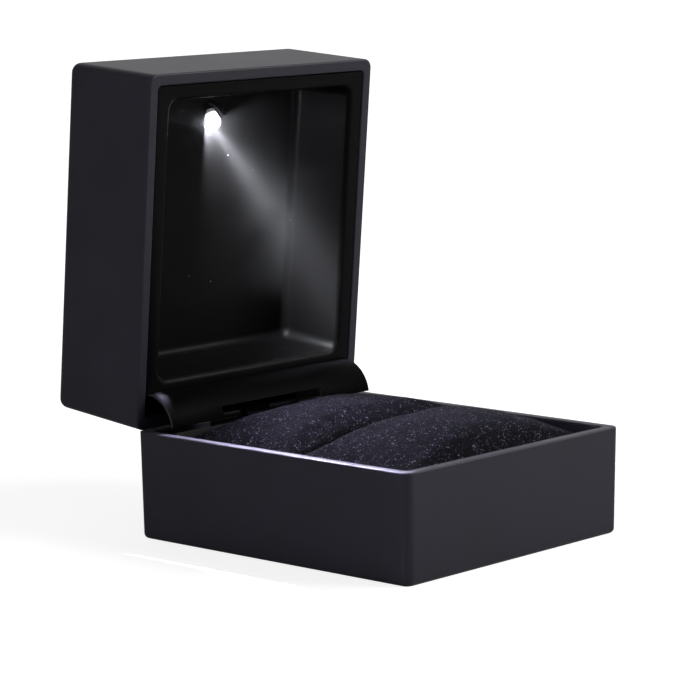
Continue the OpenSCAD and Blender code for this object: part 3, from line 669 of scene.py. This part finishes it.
def soft_box(name, place, aim, size, power):
    made = light_of(name, "AREA", power)
    made.data.shape = "RECTANGLE"
    made.data.size = made.data.size_y = size
    made.location = place
    made.rotation_mode = "QUATERNION"
    made.rotation_quaternion = (Vector(aim) - Vector(place)).to_track_quat("-Z", "Y")


# One over the floor in front, and a weak one on the left
soft_box("front", (0.35, -0.45, 0.4), (0.25, -0.35, 0), 0.4, 4.0)
soft_box("left", (-0.9, 0.1, 0.4), (0, 0, 0.04), 0.5, 2.0)


def inner_light(name, kind, start, toward, top, power, colour="#f2f4ff"):
    """A light of the lamp's own that leaves start for toward with its Y to top, and rides on the lid.
    All three are in the lid's frame."""
    made = light_of(name, kind, power, colour)
    made.data.shadow_soft_size = 0.08 * MM
    low, high = LID_SPACE @ Vector(start), LID_SPACE @ Vector(toward)
    ahead = (high - low).normalized()
    side = ahead.cross(LID_SPACE.to_3x3() @ Vector(top)).normalized()
    made.matrix_world = Matrix((side, side.cross(ahead), -ahead)).transposed().to_4x4()
    made.location = low
    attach(made, "lid")
    return made


def sheet_of_light(lit, width, edge, walls, reach):
    """Shapes a point light into a flat fan about the plane of its Y and -Z. Sideways, as the tangent of an angle, it is
    full up to width less edge, or with no edge it fades as a beam of half width does. It fades from the panel up the
    recess's coves, whose walls get only the share named, and nothing leaves the lid. With reach it hardly fades."""
    lit.data.use_nodes = True
    tree = lit.data.node_tree
    way = put(tree, "ShaderNodeTexCoord").outputs["Normal"]
    own = put(tree, "ShaderNodeSeparateXYZ", [("Vector", way)])
    ahead = put(tree, MATH, [(0, own.outputs["Z"]), (1, -1.0)], operation="MULTIPLY")
    aside = put(tree, MATH, [(0, own.outputs["X"]), (1, ahead)], operation="DIVIDE")
    across = put(tree, MATH, [(0, aside)], operation="ABSOLUTE")
    if edge:
        wide = put(tree, RANGE, [("Value", across)], interpolation_type="SMOOTHSTEP",
                   From_Min=width - edge, From_Max=width, To_Min=1.0, To_Max=0.0)
    else:
        widths = put(tree, MATH, [(0, across), (1, width)], operation="DIVIDE")
        power = put(tree, MATH, [(0, widths), (1, 2.5)], operation="POWER")
        below = put(tree, MATH, [(0, power), (1, 1.0)], operation="ADD")
        wide = put(tree, MATH, [(0, 1.0), (1, below)], operation="DIVIDE")
    front = put(tree, MATH, [(0, ahead), (1, 0.0)], operation="GREATER_THAN")
    level = put(tree, MATH, [(0, wide), (1, front)], operation="MULTIPLY")
    if walls < 1:
        # The ray's way in the lid's frame, against the slopes from the lamp to the panel's sides and ends
        to_lid = (LID_SPACE.to_3x3().normalized().transposed() @ lit.matrix_world.to_3x3()).normalized()
        x, y, z = (put(tree, VECTORS, [(0, way), (1, row)], operation="DOT_PRODUCT").outputs["Value"]
                   for row in to_lid)
        rises = []
        for part, slope in ((x, 0.0802), (z, 0.055)):
            size = put(tree, MATH, [(0, part)], operation="ABSOLUTE")
            rises.append(put(tree, MATH, [(0, size), (1, slope)], operation="MULTIPLY"))
        rise = put(tree, MATH, [(0, rises[0]), (1, rises[1])], operation="MAXIMUM")
        # 1 where a ray meets the panel's edge, less on the coves and walls, and negative above the lamp's own depth.
        # The ramp takes it from -7 to 3
        depth = put(tree, MATH, [(0, y), (1, rise)], operation="DIVIDE")
        lifted = put(tree, MATH, [(0, depth), (1, 7.0)], operation="ADD")
        place = put(tree, MATH, [(0, lifted), (1, 0.1)], operation="MULTIPLY")
        fade = put(tree, RAMP, [("Fac", place)],
                   [(0.12, 0.0), (0.18, walls * 0.8), (0.695, walls), (0.765, walls * 1.3), (0.791, walls * 2.3),
                    (0.797, walls * 3.7), (0.8, 1.0)])
        level = put(tree, MATH, [(0, level), (1, fade)], operation="MULTIPLY")
    fall = put(tree, "ShaderNodeLightFalloff", Strength=reach or 1.0)
    falling = put(tree, MATH, [(0, level), (1, fall.outputs["Constant" if reach else "Quadratic"])],
                  operation="MULTIPLY")
    tree.links.new(falling.outputs[0], tree.nodes["Emission"].inputs["Strength"])


# The lamp's body is clear, so it throws no shadow. Its main light falls on the ring's place, a weak glow lies
# round it, a soft fan runs down the panel, in that one narrow beam, and a thin sheet along the base's left rim
nodes["lamp_bulb"].visible_shadow = False
LAMP = Vector((-1.4, 11.8, 53.4))
RING_PLACE = LID_SPACE.inverted() @ (Vector((-13, -20, 22)) * MM)
LEFT_RIM = LID_SPACE.inverted() @ (Vector((-29, -4, BASE_H)) * MM)
main = inner_light("lamp_main", "SPOT", LAMP, RING_PLACE, (0, -1, 0), 0.35, "#dfdbff").data
main.spot_size = math.radians(62)
main.spot_blend = 0.9
glow = inner_light("lamp_glow", "SPOT", (0.3, 12.6, 53.4), (0.3, 20, 53.4), (1, 0, 0), 0.004).data
glow.spot_size = math.radians(165)
glow.spot_blend = 1.0
fan = inner_light("lamp_fan", "POINT", LAMP, LAMP + Vector((0.8, 0, -0.6)), (0, -1, 0), 0.23)
fan.data.shadow_soft_size = 0.4 * MM
sheet_of_light(fan, 1.6, 0.9, 0.008, None)
beam = inner_light("lamp_beam", "POINT", LAMP, LAMP + Vector((0.719, 0, -0.695)), (-0.735, -0.645, 0.207), 0.36)
sheet_of_light(beam, 0.135, None, 0.05, 60000.0)
along_rim = inner_light("lamp_rim", "POINT", LAMP, LEFT_RIM, (0, 1, -0.087), 0.65, "#dfdbff")
sheet_of_light(along_rim, 0.03, 0.03, 1, 300.0)

# ---- Floor: matt white paper, lit as white where the camera sees it, a little less near the case ----
floor_shape = bmesh.new()
bmesh.ops.create_grid(floor_shape, x_segments=1, y_segments=1, size=3.0)
floor = link("floor", mesh_of("floor", floor_shape, Matrix.Identity(4)))
paper, tree, at = finish_of("white_paper", Roughness=0.95, Specular_IOR_Level=0.1,
                            Emission_Color=linear("#ffffff"), Base_Color=linear("#bcbcbc"))
by_camera = put(tree, "ShaderNodeLightPath").outputs["Is Camera Ray"]
far = put(tree, VECTORS, [(0, at)], operation="LENGTH").outputs["Value"]
white = put(tree, RANGE, [("Value", far)], From_Min=0.08, From_Max=0.35, To_Min=0.8, To_Max=1.0)
shade(tree, Emission_Strength=put(tree, MATH, [(0, by_camera), (1, white)], operation="MULTIPLY"))
floor.data.materials.append(paper)
